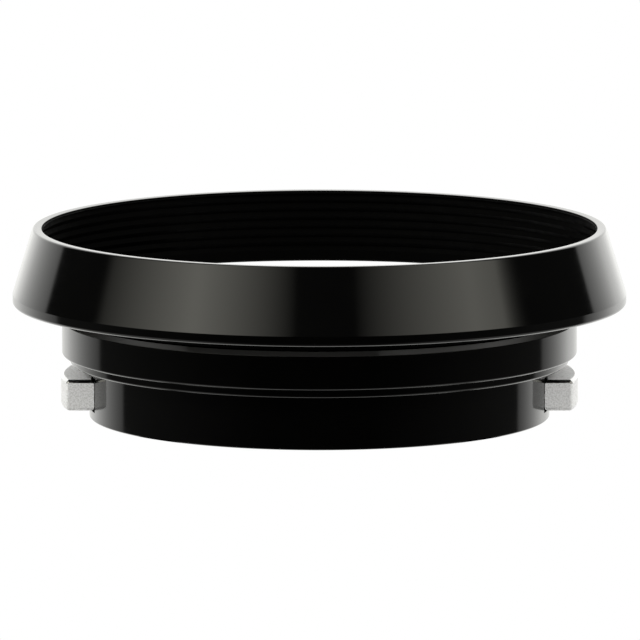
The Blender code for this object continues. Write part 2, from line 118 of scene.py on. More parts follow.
# Screws and their holes.
RUNNING_GAP = 0.12
GUIDE_X = 4.60
GUIDE_Y = 23.30
GUIDE_SHANK_R = 0.45
GUIDE_TOP = 6.60
GUIDE_HEAD_R = 0.95
BARREL_SCREW_CIRCLE_R = 24.40
BARREL_SCREW_R = 0.50
BARREL_SCREW_HEAD_R = 0.90
BARREL_SCREW_HEAD = 0.45
BARREL_SCREW_BOTTOM = 5.75
BUTTON_SCREW_X = 26.20
BUTTON_SCREW_Y = 1.90
BUTTON_SCREW_R = 0.40
BUTTON_SCREW_LENGTH = 0.75
BUTTON_SCREW_HEAD_R = 0.72
BUTTON_SCREW_HEAD = 0.35
SLOT_WIDTH = 0.22
SLOT_DEPTH = 0.16

# Buttons.
BUTTON_APEX = 28.67
BUTTON_CORNER = 27.90
BUTTON_INNER = 24.88
BUTTON_HALF = 5.80
BUTTON_BOTTOM = 1.25
BUTTON_TOP = 4.72
BUTTON_TOP_FILLET = 0.42
BUTTON_EDGE_FILLET = 0.22
BUTTON_INNER_FILLET = 0.03
WINDOW_GAP = 0.20
RELIEF_HALF = 5.62
RELIEF_DEPTH = 0.75
LUG_GAP = 0.10
LUG_HALF = 3.00
LUG_END = 27.00

# Latch rings and springs.
LOWER_RING_Z = 1.75
UPPER_RING_Z = 2.75
RING_THICKNESS = 0.80
TRAVEL = 0.80
RING_INNER_R = 23.05
RING_OUTER_R = 24.30
PAD_INNER_R = 22.85
PAD_OUTER_R = 24.65
PAD_HALF_DEG = 17.0
TOOTH_HALF_DEG = 10.0
TOOTH_REACH = 0.55
EAR_X = 0.45
EAR_THICKNESS = 0.50
EAR_WIDTH = 0.60
EAR_TOP = 5.10
EAR_SLOT_WIDTH = 1.00
RING_FILLET = 0.05
GUIDE_SEAT_R = 0.68
GUIDE_SEAT_Z = 3.90
GUIDE_SEAT_TOP = 5.15
SPRING_Y = 23.60
SPRING_Z = 4.52
SPRING_MEAN_R = 0.48
SPRING_TURNS = 5.5
SPRING_END_GAP = 0.08
WIRE_R = 0.085


# Node trees.

NOISE_RANGE = (0.3, 0.7)


class Graph:
    """Short calls that add nodes to a tree and return their outputs."""

    def __init__(self, owner):
        owner.use_nodes = True
        self.tree = owner.node_tree
        self.tree.nodes.clear()

    def node(self, kind, inputs=None, **settings):
        made = self.tree.nodes.new(kind)
        for name, value in settings.items():
            setattr(made, name, value)
        for name, value in (inputs or {}).items():
            self.feed(value, made.inputs[name])
        return made

    def feed(self, value, socket):
        if isinstance(value, bpy.types.NodeSocket):
            self.tree.links.new(value, socket)
        else:
            socket.default_value = value

    def math(self, operation, *values):
        made = self.node("ShaderNodeMath", operation=operation)
        for socket, value in zip(made.inputs, values):
            self.feed(value, socket)
        return made.outputs[0]

    def product(self, *values):
        result = values[0]
        for value in values[1:]:
            result = self.math("MULTIPLY", result, value)
        return result

    def total(self, *values):
        result = values[0]
        for value in values[1:]:
            result = self.math("ADD", result, value)
        return result

    def ramp(self, value, start, end, low=0.0, high=1.0, kind="SMOOTHSTEP"):
        """Goes from low at start to high at end, and stays there on either side."""
        inputs = {"Value": value, "From Min": start, "From Max": end, "To Min": low, "To Max": high}
        return self.node("ShaderNodeMapRange", inputs, interpolation_type=kind).outputs[0]

    def combine(self, x, y, z):
        return self.node("ShaderNodeCombineXYZ", {"X": x, "Y": y, "Z": z}).outputs[0]

    def noise(self, vector, scale, detail=2.0, roughness=0.5):
        inputs = {"Vector": vector, "Scale": scale, "Detail": detail, "Roughness": roughness}
        return self.node("ShaderNodeTexNoise", inputs).outputs["Fac"]

    def tint(self, factor, dark, light):
        """A colour between two others."""
        made = self.node("ShaderNodeMix", data_type="RGBA")
        first, second = (socket for socket in made.inputs if socket.type == "RGBA")
        self.feed(factor, made.inputs[0])
        self.feed((*dark, 1.0), first)
        self.feed((*light, 1.0), second)
        return next(socket for socket in made.outputs if socket.type == "RGBA")

    def spread(self, noise, low, high):
        """The range that noise usually has, taken to another one."""
        return self.ramp(noise, *NOISE_RANGE, low, high)

    def bump(self, height, strength, distance):
        inputs = {"Height": height, "Strength": strength, "Distance": distance}
        return self.node("ShaderNodeBump", inputs).outputs[0]


def place_in_piece(graph):
    """(x, y, z, distance from the optical axis) of the shaded point, in metres."""
    here = graph.node("ShaderNodeTexCoord").outputs["Object"]
    split = graph.node("ShaderNodeSeparateXYZ", {"Vector": here})
    x, y, z = split.outputs
    flat = graph.math("SQRT", graph.total(graph.product(x, x), graph.product(y, y)))
    return x, y, z, flat


def surface(name, build):
    """A material whose Principled shader takes the inputs that build(graph) returns."""
    made = bpy.data.materials.new(name)
    graph = Graph(made)
    shader = graph.node("ShaderNodeBsdfPrincipled", build(graph))
    out = graph.node("ShaderNodeOutputMaterial")
    graph.feed(shader.outputs[0], out.inputs["Surface"])
    return made


# Materials.

LATHE_DRIFT = 0.004
BRUSHED_ACROSS = 6.0
SPECKLE_RANGE = (0.36, 0.62)
WORN_RANGE = (0.58, 0.72)


def turning_grain(graph, lines_per_mm):
    """Noise that runs round the optical axis, like the marks of a lathe tool."""
    x, _, z, flat = place_in_piece(graph)
    vector = graph.combine(flat, z, graph.product(x, LATHE_DRIFT))
    return graph.noise(vector, lines_per_mm / MM, 3.0, 0.6)


def patches(graph, scale):
    """Slow, even mottling."""
    here = graph.node("ShaderNodeTexCoord").outputs["Object"]
    return graph.noise(here, scale / MM, 3.0, 0.55)


def gloss_anodised(graph):
    """Blacker than real anodising is: it sets how dark the outside is in this studio."""
    grain = turning_grain(graph, 9.0)
    mottle = patches(graph, 0.25)
    mixed = graph.total(graph.product(grain, 0.5), graph.product(mottle, 0.5))
    around = graph.node("ShaderNodeTangent", direction_type="RADIAL", axis="Z").outputs[0]
    return {
        "Base Color": graph.tint(mottle, (0.0006, 0.0006, 0.0006), (0.0012, 0.0012, 0.0011)),
        "Roughness": graph.spread(mixed, 0.075, 0.12),
        "IOR": 1.6,
        "Anisotropic": 0.4,
        "Anisotropic Rotation": 0.25,
        "Tangent": around,
        "Normal": graph.bump(grain, 0.10, 0.004 * MM),
    }


def matt_anodised(graph):
    """The IOR is below any real coating's: it keeps the sheen of the inside low in this studio."""
    grain = turning_grain(graph, 7.0)
    mottle = patches(graph, 0.8)
    return {
        "Base Color": graph.tint(mottle, (0.0012, 0.0012, 0.0012), (0.0022, 0.0022, 0.0021)),
        "Roughness": graph.spread(mottle, 0.62, 0.74),
        "IOR": 1.12,
        "Normal": graph.bump(grain, 0.2, 0.01 * MM),
    }


def chamfer_painted_sheen(graph):
    """The chamfer round the band, duller than the rest. Its paler base colour is painted sheen, a lit
    copy of the black anodising.
    """
    grain = turning_grain(graph, 12.0)
    return {
        # Painted sheen: this grey stands for light that the chamfer reflects.
        "Base Color": graph.tint(grain, (0.045, 0.045, 0.043), (0.070, 0.069, 0.066)),
        "Roughness": graph.spread(grain, 0.30, 0.42),
        "IOR": 1.6,
        "Normal": graph.bump(grain, 0.12, 0.006 * MM),
    }


def satin_chrome(graph):
    """Metallic is lower than bare chrome has: it sets how bright the buttons are in this studio."""
    x, y, z, _ = place_in_piece(graph)
    squeezed_x = graph.product(x, BRUSHED_ACROSS)
    squeezed_y = graph.product(y, BRUSHED_ACROSS)
    brushed = graph.noise(graph.combine(squeezed_x, squeezed_y, z), 1.6 / MM, 3.0, 0.6)
    speckle = patches(graph, 5.0)
    pale = graph.ramp(speckle, *SPECKLE_RANGE)
    mixed = graph.total(graph.product(brushed, 0.45), graph.product(speckle, 0.55))
    return {
        "Base Color": graph.tint(pale, (0.76, 0.76, 0.75), (1.0, 1.0, 1.0)),
        "Metallic": 0.2,
        "Roughness": graph.spread(mixed, 0.60, 0.74),
        "Normal": graph.bump(speckle, 0.75, 0.03 * MM),
    }


def polished_chrome_painted_shade(graph):
    """The buttons' rounded upper edges, smoother than their faces. Their darker base colour is painted
    shade that holds down the edges' highlight.
    """
    speckle = patches(graph, 6.0)
    return {
        "Base Color": graph.tint(speckle, (0.44, 0.44, 0.44), (0.54, 0.54, 0.54)),
        "Metallic": 1.0,
        "Roughness": graph.spread(speckle, 0.10, 0.20),
        "Normal": graph.bump(speckle, 0.08, 0.01 * MM),
    }


def latch_brass(graph):
    """Blackened brass, with the bare metal showing in small rubbed patches."""
    grain = patches(graph, 8.0)
    worn = graph.ramp(patches(graph, 1.1), *WORN_RANGE)
    return {
        "Base Color": graph.tint(worn, (0.030, 0.026, 0.020), (0.42, 0.31, 0.15)),
        "Metallic": 1.0,
        "Roughness": graph.spread(grain, 0.30, 0.46),
        "Normal": graph.bump(grain, 0.2, 0.01 * MM),
    }


def spring_steel(graph):
    mottle = patches(graph, 4.0)
    return {
        "Base Color": graph.tint(mottle, (0.46, 0.46, 0.47), (0.62, 0.62, 0.63)),
        "Metallic": 1.0,
        "Roughness": graph.spread(mottle, 0.25, 0.40),
        "Normal": graph.bump(mottle, 0.15, 0.01 * MM),
    }


def black_screw(graph):
    mottle = patches(graph, 3.0)
    grain = patches(graph, 12.0)
    return {
        "Base Color": graph.tint(mottle, (0.012, 0.012, 0.013), (0.030, 0.029, 0.028)),
        "Metallic": 0.6,
        "Roughness": graph.spread(grain, 0.26, 0.40),
        "Normal": graph.bump(grain, 0.2, 0.01 * MM),
    }


GLOSS = surface("anodised_gloss", gloss_anodised)
MATT = surface("anodised_matt", matt_anodised)
CHAMFER_PAINTED_SHEEN = surface("anodised_chamfer_painted_sheen", chamfer_painted_sheen)
CHROME = surface("satin_chrome", satin_chrome)
POLISHED_CHROME_PAINTED_SHADE = surface("polished_chrome_painted_shade", polished_chrome_painted_shade)
BRASS = surface("latch_brass", latch_brass)
STEEL = surface("spring_steel", spring_steel)
BLACK_STEEL = surface("black_screw", black_screw)


# Mesh helpers.

SUPPORT = 0.03
FILLET_STEP_DEG = 12.0
HOLE_STEPS = 48
SCREW_STEPS = 72


def rounded(corners):
    """Closed outline whose corners, given as (x, y, fillet radius), are rounded.

    A point close to each end of a fillet keeps the shading of the flat beside it flat.
    """
    points = []
    for i, (x, y, fillet) in enumerate(corners):
        here = Vector((x, y))
        back = Vector(corners[i - 1][:2]) - here
        ahead = Vector(corners[(i + 1) % len(corners)][:2]) - here
        half = back.angle(ahead) / 2
        cut = min(fillet / math.tan(half), 0.45 * back.length, 0.45 * ahead.length)
        if cut <= 0:
            points.append((x, y))
            continue
        back.normalize()
        ahead.normalize()
        centre = here + (back + ahead).normalized() * cut / math.cos(half)
        first = here + back * cut - centre
        last = here + ahead * cut - centre
        turn = first.angle(last)
        steps = max(2, math.ceil(math.degrees(turn) / FILLET_STEP_DEG))
        points.append(tuple(here + back * (cut + SUPPORT)))
        for k in range(steps + 1):
            share = k / steps
            weight_a = math.sin((1 - share) * turn) / math.sin(turn)
            weight_b = math.sin(share * turn) / math.sin(turn)
            points.append(tuple(centre + first * weight_a + last * weight_b))
        points.append(tuple(here + ahead * (cut + SUPPORT)))
    return points


def polar(radius, degrees):
    angle = math.radians(degrees)
    return radius * math.cos(angle), radius * math.sin(angle)


def spun(bm, outline, degrees=360.0, start=0.0, steps=TURN_STEPS):
    """The closed (radius, height) outline swept about the Z axis from the start angle."""
    verts = [bm.verts.new((radius, 0.0, height)) for radius, height in outline]
    face = bm.faces.new(verts)
    to_start = Matrix.Rotation(math.radians(start), 3, "Z")
    bmesh.ops.rotate(bm, verts=verts, cent=(0, 0, 0), matrix=to_start)
    whole = degrees >= 360.0
    bmesh.ops.spin(
        bm,
        geom=list(face.edges) if whole else [face, *face.edges, *verts],
        cent=(0, 0, 0),
        axis=(0, 0, 1),
        angle=math.radians(degrees),
        steps=steps,
        use_merge=whole,
    )
    if whole:
        bm.faces.remove(face)
        bmesh.ops.remove_doubles(bm, verts=bm.verts, dist=1e-5)


def cylinder(bm, radius, low, high, x, y, top_radius=None):
    bmesh.ops.create_cone(
        bm,
        cap_ends=True,
        segments=HOLE_STEPS,
        radius1=radius,
        radius2=radius if top_radius is None else top_radius,
        depth=high - low,
        matrix=Matrix.Translation((x, y, (low + high) / 2)),
    )


def block(bm, low, high):
    size = Vector(high) - Vector(low)
    middle = (Vector(high) + Vector(low)) / 2
    shape = Matrix.Translation(middle) @ Matrix.Diagonal((*size, 1.0))
    bmesh.ops.create_cube(bm, size=1.0, matrix=shape)


def prism(bm, outline, low, high):
    """A flat outline in plan, as a solid between two heights."""
    floor = bm.faces.new([bm.verts.new((x, y, low)) for x, y in outline])
    made = bmesh.ops.extrude_face_region(bm, geom=[floor])
    top = [item for item in made["geom"] if isinstance(item, bmesh.types.BMVert)]
    bmesh.ops.translate(bm, verts=top, vec=(0, 0, high - low))


def solid(name, build):
    """A new object from build(bm), which works in millimetres."""
    bm = bmesh.new()
    build(bm)
    bmesh.ops.scale(bm, vec=(MM, MM, MM), verts=bm.verts)
    bmesh.ops.recalc_face_normals(bm, faces=bm.faces)
    mesh = bpy.data.meshes.new(name)
    bm.to_mesh(mesh)
    bm.free()
    made = bpy.data.objects.new(name, mesh)
    bpy.context.scene.collection.objects.link(made)
    return made


def turned(name, corners):
    return solid(name, lambda bm: spun(bm, rounded(corners)))


def apply_modifiers(obj):
    bpy.context.view_layer.update()
    evaluated = obj.evaluated_get(bpy.context.evaluated_depsgraph_get())
    mesh = bpy.data.meshes.new_from_object(evaluated)
    obj.modifiers.clear()
    obj.data = mesh


def combine(obj, build, operation="DIFFERENCE", solver="MANIFOLD"):
    """Cuts the solid that build(bm) makes out of obj, or joins it on, and removes it."""
    other = solid("other", build)
    step = obj.modifiers.new("boolean", "BOOLEAN")
    step.operation = operation
    step.solver = solver
    step.object = other
    apply_modifiers(obj)
    bpy.data.objects.remove(other)


def dress(obj, body, nodes, finishes, sharp=35.0, pick=None):
    """Shading, materials and CAD body of a finished piece.

    pick(radius, height, outward part of the normal) gives the number of a face's finish.
    """
    mesh = obj.data
    mesh.materials.clear()
    for finish in finishes:
        mesh.materials.append(finish)
    if pick:
        for face in mesh.polygons:
            x, y, z = face.center / MM
            radius = math.hypot(x, y)
            outward = (face.normal.x * x + face.normal.y * y) / max(radius, 1e-6)
            face.material_index = int(pick(radius, z, outward))
    mesh.shade_smooth()
    mesh.set_sharp_from_angle(angle=math.radians(sharp))
    even = obj.modifiers.new("even_normals", "WEIGHTED_NORMAL")
    even.keep_sharp = True
    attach(obj, body)
    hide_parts(*nodes)
    return obj


# Shade.


def outer_cone_r(height):
    """Radius of the shade's outer wall: upright on the lip, then sloping in to the rim."""
    if height <= Z_LIP_TOP:
        return SKIRT_R
    return SKIRT_R + (RIM_R - SKIRT_R) * (height - Z_LIP_TOP) / (Z_FRONT - Z_LIP_TOP)


def ridge_corners():
    """Corners of the anti-reflection ridges, from the front backwards: a root and a crest each."""
    corners = []
    for i in range(RIDGE_COUNT):
        root_z = Z_FRONT - FIRST_ROOT - i * RIDGE_PITCH
        crest_z = root_z - 0.5 * RIDGE_PITCH
        corners.append((outer_cone_r(root_z) - SHADE_WALL + RIDGE_DEPTH, root_z, 0.03))
        corners.append((outer_cone_r(crest_z) - SHADE_WALL, crest_z, 0.04))
    return corners


def shade_corners():
    inner_r = SKIRT_R - SHADE_WALL
    return [
        (RIM_R, Z_FRONT, RIM_FILLET),
        (SKIRT_R, Z_LIP_TOP, 0.10),
        (SKIRT_R, Z_SKIRT, SKIRT_FILLET),
        (inner_r, Z_SKIRT, INNER_SKIRT_FILLET),
        *reversed(ridge_corners()),
        (RIM_R - SHADE_WALL, Z_FRONT - 0.30, 0.03),
        (RIM_R - RIM_WALL, Z_FRONT - 0.20, 0.03),
        (RIM_R - RIM_WALL, Z_FRONT - RIM_DISH, 0.10),
        (RIM_R - RIM_FLAT, Z_FRONT, 0.02),
    ]


def thread_corners(radius, high, low, depth):
    """Crests and roots of a thread's section, running down its outer side."""
    corners = []
    turns = int((high - low) / THREAD_PITCH)
    for i in range(turns):
        top = high - i * THREAD_PITCH
        corners.append((radius, top - 0.15 * THREAD_PITCH, 0.04))
        corners.append((radius - depth, top - 0.55 * THREAD_PITCH, 0.04))
    corners.append((radius, high - turns * THREAD_PITCH - 0.05, 0.04))
    return corners


def neck_corners():
    shoulder = BARREL_TOP + 0.10
    return [
        (NECK_R, NECK_TOP, 0.12),
        (NECK_R, shoulder, 0.06),
        (NECK_THREAD_R, shoulder, 0.04),
        *thread_corners(NECK_THREAD_R, shoulder - 0.3, NECK_BOTTOM + 0.2, THREAD_DEPTH),
        (NECK_THREAD_R, NECK_BOTTOM, 0.15),
        (NECK_BORE_R, NECK_BOTTOM, 0.08),
        (NECK_BORE_R, NECK_TOP - NECK_LIP, 0.05),
        (NECK_LIP_R, NECK_TOP - NECK_LIP, 0.06),
        (NECK_LIP_R, NECK_TOP, 0.08),
    ]


def arm_corners():
    root_r = (NECK_R + NECK_BORE_R) / 2
    end_r = SKIRT_R - SHADE_WALL / 2
    underside = BARREL_TOP + 0.30
    return [
        (root_r, NECK_TOP - 0.12, 0.0),
        (end_r, Z_SKIRT + 0.45, 0.0),
        (end_r, Z_SKIRT + 0.12, 0.0),
        (NECK_R + 0.4, underside, 0.0),
        (root_r, underside, 0.0),
    ]


def make_shade():
    shade = turned("hood_shade", shade_corners())
    arm = rounded(arm_corners())
    steps = round(ARM_WIDTH_DEG / 360.0 * TURN_STEPS)
    for index in range(ARM_COUNT):
        start = FIRST_ARM_DEG + index * 360.0 / ARM_COUNT - ARM_WIDTH_DEG / 2
        combine(shade, lambda bm: spun(bm, arm, ARM_WIDTH_DEG, start, steps), "UNION")
    combine(shade, lambda bm: spun(bm, rounded(neck_corners())), "UNION")

    def inside(radius, height, outward):
        between_walls = NECK_R < radius < outer_cone_r(height) - 0.4
        between_ends = Z_SKIRT + 0.05 < height < Z_FRONT - 0.05
        in_ridges = between_walls and between_ends and outward < 0.5
        in_neck = radius < NECK_R - 0.2 and outward < -0.3
        return in_ridges or in_neck

    dress(shade, "front", ["shade"], [GLOSS, MATT], pick=inside)


# Filter barrel.


def barrel_corners():
    root_r = BARREL_BORE_R + THREAD_DEPTH
    thread = thread_corners(root_r, BARREL_TOP - 0.3, SEAT_TOP + 0.4, THREAD_DEPTH)
    return [
        (BAND_R - BARREL_CHAMFER, BARREL_TOP, 0.05),
        (BAND_R, BARREL_SHOULDER, 0.08),
        (BAND_R, BARREL_BOTTOM, BAND_FILLET),
        (FLOOR_BORE_R, BARREL_BOTTOM, 0.08),
        (FLOOR_BORE_R, SEAT_TOP - 0.25, 0.03),
        (FLOOR_BORE_R + 0.25, SEAT_TOP, 0.03),
        (BARREL_BORE_R, SEAT_TOP, 0.05),
        *reversed(thread),
        (BARREL_BORE_R + 0.15, BARREL_TOP, 0.05),
    ]


def barrel_screw_places():
    return [polar(BARREL_SCREW_CIRCLE_R, 45.0 + 90.0 * i) for i in range(4)]


def make_barrel():
    barrel = turned("hood_filter_barrel", barrel_corners())
    recess_floor = SEAT_TOP - BARREL_SCREW_HEAD - RUNNING_GAP
    shank_r = BARREL_SCREW_R + RUNNING_GAP
    head_r = BARREL_SCREW_HEAD_R + RUNNING_GAP
    for x, y in barrel_screw_places():
        for radius, low in ((shank_r, COLLAR_TOP - 1), (head_r, recess_floor)):
            combine(barrel, lambda bm: cylinder(bm, radius, low, SEAT_TOP + 1, x, y))

    def finish(radius, height, _outward):
        # Finish 2 puts the chamfer's painted sheen on the faces above the shoulder.
        if height > BARREL_SHOULDER and radius > BAND_R - BARREL_CHAMFER:
            return 2
        return radius < BARREL_BORE_R + 0.3 and height > BARREL_BOTTOM + 0.05

    dress(barrel, "base", ["filter_barrel"], [GLOSS, MATT, CHAMFER_PAINTED_SHEEN], pick=finish)


# Mount collar.


def collar_corners():
    return [
        (STEP_R, COLLAR_TOP, 0.08),
        (STEP_R, Z_STEP, STEP_FILLET),
        (COLLAR_R, Z_STEP, 0.06),
        (COLLAR_R, Z_REAR, 0.16),
        (CHANNEL_R, Z_REAR, 0.10),
        (CHANNEL_R, CHANNEL_ROOF, 0.10),
        (SLEEVE_R, CHANNEL_ROOF, 0.06),
        (SLEEVE_R, SLEEVE_BOTTOM, 0.06),
        (BORE_R, SLEEVE_BOTTOM, 0.08),
        (BORE_R, LENS_STOP_Z, 0.06),
        (LENS_STOP_R, LENS_STOP_Z, 0.06),
        (LENS_STOP_R, COLLAR_TOP - 0.2, 0.03),
        (LENS_STOP_R + 0.2, COLLAR_TOP, 0.03),
    ]


def guide_places():
    return [(x, y) for y in (-GUIDE_Y, GUIDE_Y) for x in (-GUIDE_X, GUIDE_X)]


def window(bm, side):
    half = BUTTON_HALF + WINDOW_GAP
    low = BUTTON_BOTTOM - WINDOW_GAP
    high = BUTTON_TOP + WINDOW_GAP
    near, far = sorted((side * (CHANNEL_R - 1.2), side * (COLLAR_R + 1)))
    block(bm, (near, -half, low), (far, half, high))


def make_collar():
    collar = turned("hood_mount_collar", collar_corners())
    for side in (-1, 1):
        combine(collar, lambda bm: window(bm, side))
    for x, y in guide_places():
        low, high = CHANNEL_ROOF - 0.5, GUIDE_TOP + RUNNING_GAP
        combine(collar, lambda bm: cylinder(bm, GUIDE_SHANK_R + RUNNING_GAP, low, high, x, y))
    for x, y in barrel_screw_places():
        low, high = BARREL_SCREW_BOTTOM - RUNNING_GAP, COLLAR_TOP + 1
        combine(collar, lambda bm: cylinder(bm, BARREL_SCREW_R + RUNNING_GAP, low, high, x, y))

    def inside(radius, height, outward):
        return radius < CHANNEL_R + 0.02 and outward < 0.5 and height > 0.2

    dress(collar, "base", ["mount_collar"], [GLOSS, MATT], pick=inside)


def make_cover():
    corners = [
        (COVER_R, COVER_TOP, 0.05),
        (COVER_R, COVER_BOTTOM, 0.10),
        (BORE_R + LEAD_IN, COVER_BOTTOM, 0.04),
        (BORE_R, COVER_BOTTOM + LEAD_IN, 0.04),
        (BORE_R, COVER_TOP, 0.05),
    ]
    cover = turned("hood_latch_cover", corners)
    wide = GUIDE_HEAD_R + RUNNING_GAP
    narrow = GUIDE_SHANK_R + RUNNING_GAP
    bottom = COVER_BOTTOM
    sink_r = wide + 0.2
    sink_top = bottom + wide - GUIDE_SHANK_R
    for x, y in guide_places():
        combine(cover, lambda bm: cylinder(bm, narrow, bottom - 1, COVER_TOP + 1, x, y))
        combine(cover, lambda bm: cylinder(bm, sink_r, bottom - 0.2, sink_top, x, y, GUIDE_SHANK_R))
    dress(cover, "base", ["latch_cover"], [GLOSS])


# Buttons.


def button_outline():
    """Outline in plan of the left button: an arched outer face, flat ends and a flat inner face."""
    sagitta = BUTTON_APEX - BUTTON_CORNER
    radius = (BUTTON_HALF**2 + sagitta**2) / (2 * sagitta)
    half = math.degrees(math.asin(BUTTON_HALF / radius))
    steps = 36
    outer = []
    for i in range(steps + 1):
        x, y = polar(radius, 180.0 - half + 2 * half * i / steps)
        outer.append((x - BUTTON_APEX + radius, y))
    return [*outer, (-BUTTON_INNER, -BUTTON_HALF), (-BUTTON_INNER, BUTTON_HALF)]


def weigh_button_edges(mesh):
    """Bevel weights: well rounded above and below, less at the outer corners, hardly at the inner."""
    weights = mesh.attributes.new("bevel_weight_edge", "FLOAT", "EDGE")
    for edge in mesh.edges:
        a, b = (mesh.vertices[i].co for i in edge.vertices)
        at_corner = abs(abs(a.y) - BUTTON_HALF * MM) < 1e-7
        fillet = BUTTON_INNER_FILLET if abs(a.x) < (BUTTON_INNER + 0.1) * MM else BUTTON_EDGE_FILLET
        if abs(a.z - b.z) < 1e-6:
            weights.data[edge.index].value = 1.0
        elif at_corner:
            weights.data[edge.index].value = fillet / BUTTON_TOP_FILLET


def make_button(side, ring_low, direction):
    outline = button_outline()
    button = solid(f"hood_{side}_button", lambda bm: prism(bm, outline, BUTTON_BOTTOM, BUTTON_TOP))
    weigh_button_edges(button.data)
    edges = button.modifiers.new("edges", "BEVEL")
    edges.limit_method = "WEIGHT"
    edges.width = BUTTON_TOP_FILLET * MM
    edges.segments = 8
    apply_modifiers(button)

    def relief(bm):
        low, high = LOWER_RING_Z - 0.2, UPPER_RING_Z + RING_THICKNESS + 0.2
        near, far = -BUTTON_INNER + 1, -BUTTON_INNER - RELIEF_DEPTH
        block(bm, (far, -RELIEF_HALF, low), (near, RELIEF_HALF, high))

    def lug_seat(bm):
        half = LUG_HALF + LUG_GAP
        low, high = BUTTON_BOTTOM - 1, ring_low + RING_THICKNESS + LUG_GAP
        block(bm, (-LUG_END - LUG_GAP, -half, low), (-BUTTON_INNER + 1.01, half, high))

    combine(button, relief, solver="EXACT")
    combine(button, lug_seat, solver="EXACT")
    top = ring_low + RING_THICKNESS + BUTTON_SCREW_LENGTH + 2 * RUNNING_GAP
    radius = BUTTON_SCREW_R + RUNNING_GAP
    for y in (-BUTTON_SCREW_Y, BUTTON_SCREW_Y):

        def screw_hole(bm):
            cylinder(bm, radius, BUTTON_BOTTOM, top, -BUTTON_SCREW_X, y)

        combine(button, screw_hole, solver="EXACT")
    if direction > 0:
        button.data.transform(Matrix.Rotation(math.pi, 4, "Z"))
    finishes = [CHROME, POLISHED_CHROME_PAINTED_SHADE]
    dress(button, f"{side}_release", [f"{side}_button"], finishes, 40.0)
    # Faces that slope upwards take the polished chrome, whose darker colour is painted shade on their
    # highlight.
    for face in button.data.polygons:
        face.material_index = int(0.15 < face.normal.z < 0.98)


# Latch rings.


def arc(radius, start, end, steps):
    return [polar(radius, start + (end - start) * i / steps) for i in range(steps)]


def ring_edge(plain, pad):
    """An edge of a latch ring in plan: plain at the sides, with a pad in front and behind."""
    points = []
    pad_start = 90.0 - PAD_HALF_DEG
    for side in (0.0, 180.0):
        points += arc(pad, side + pad_start, side + 180.0 - pad_start, 16)
        points += arc(plain, side + 180.0 - pad_start, side + 180.0 + pad_start, 72)
    return points


def slot_outline(x_low, x_high, y, width):
    """A slot along X with round ends."""
    radius = width / 2
    right = [(x_high - radius + dx, y + dy) for dx, dy in arc(radius, -90.0, 90.0, 16)]
    left = [(x_low + radius + dx, y + dy) for dx, dy in arc(radius, 90.0, 270.0, 16)]
    return right + left


def make_latch_ring(side, low, through_ears, direction):
    """Built for the left button, with its tooth at +X; the right one is turned half a turn."""
    high = low + RING_THICKNESS
    offset = -TRAVEL / 2

    def shifted(points):
        return [(x + offset, y) for x, y in points]

    def tooth(bm):
        tip = RING_INNER_R - TOOTH_REACH
        middle = (RING_INNER_R + RING_OUTER_R) / 2
        outline = [(middle, high), (middle, low), (tip + 0.3, low), (tip, low + 0.35), (tip, high)]
        spun(bm, outline, 2 * TOOTH_HALF_DEG, -TOOTH_HALF_DEG, 16)
        bmesh.ops.translate(bm, verts=bm.verts, vec=(offset, 0, 0))

    def join(build):
        combine(ring, build, "UNION", "EXACT")

    def cut(build):
        combine(ring, build, "DIFFERENCE", "EXACT")

    outer = shifted(ring_edge(RING_OUTER_R, PAD_OUTER_R))
    inner = shifted(ring_edge(RING_INNER_R, PAD_INNER_R))
    ring = solid(f"hood_{side}_latch_ring", lambda bm: prism(bm, outer, low, high))
    cut(lambda bm: prism(bm, inner, low - 1, high + 1))
    root = -RING_OUTER_R + offset + 0.35
    join(lambda bm: block(bm, (-LUG_END, -LUG_HALF, low), (root, LUG_HALF, high)))
    join(tooth)
    near = EAR_X - EAR_THICKNESS / 2
    far = near + EAR_THICKNESS
    for y in (-SPRING_Y, SPRING_Y):
        half = EAR_WIDTH / 2
        join(lambda bm: block(bm, (near, y - half, low + 0.3), (far, y + half, EAR_TOP)))
    slack = GUIDE_SHANK_R + RUNNING_GAP
    for x, y in guide_places():
        outline = slot_outline(x - TRAVEL - slack, x + slack, y, 2 * slack)
        cut(lambda bm: prism(bm, outline, low - 1, high + 1))
    for y in (-BUTTON_SCREW_Y, BUTTON_SCREW_Y):
        radius = BUTTON_SCREW_R + RUNNING_GAP
        cut(lambda bm: cylinder(bm, radius, low - 1, high + 1, -BUTTON_SCREW_X, y))
    if through_ears:
        half = EAR_SLOT_WIDTH / 2
        start = near - 0.2
        end = -start - EAR_THICKNESS - 0.4 - 2 * TRAVEL
        for y in (-SPRING_Y, SPRING_Y):
            cut(lambda bm: block(bm, (end, y - half, low - 1), (-start, y + half, high + 1)))
    # This bevel hardly takes effect. Its fillet comes out about 0.002 mm wide on the right ring, and with
    # no width on the left one, where it leaves collapsed faces.
    edges = ring.modifiers.new("edges", "BEVEL")
    edges.limit_method = "ANGLE"
    edges.angle_limit = math.radians(40.0)
    edges.width = RING_FILLET * MM
    edges.segments = 3
    apply_modifiers(ring)
    if direction > 0:
        ring.data.transform(Matrix.Rotation(math.pi, 4, "Z"))
    dress(ring, f"{side}_release", [f"{side}_latch_ring"], [BRASS])


# Springs.


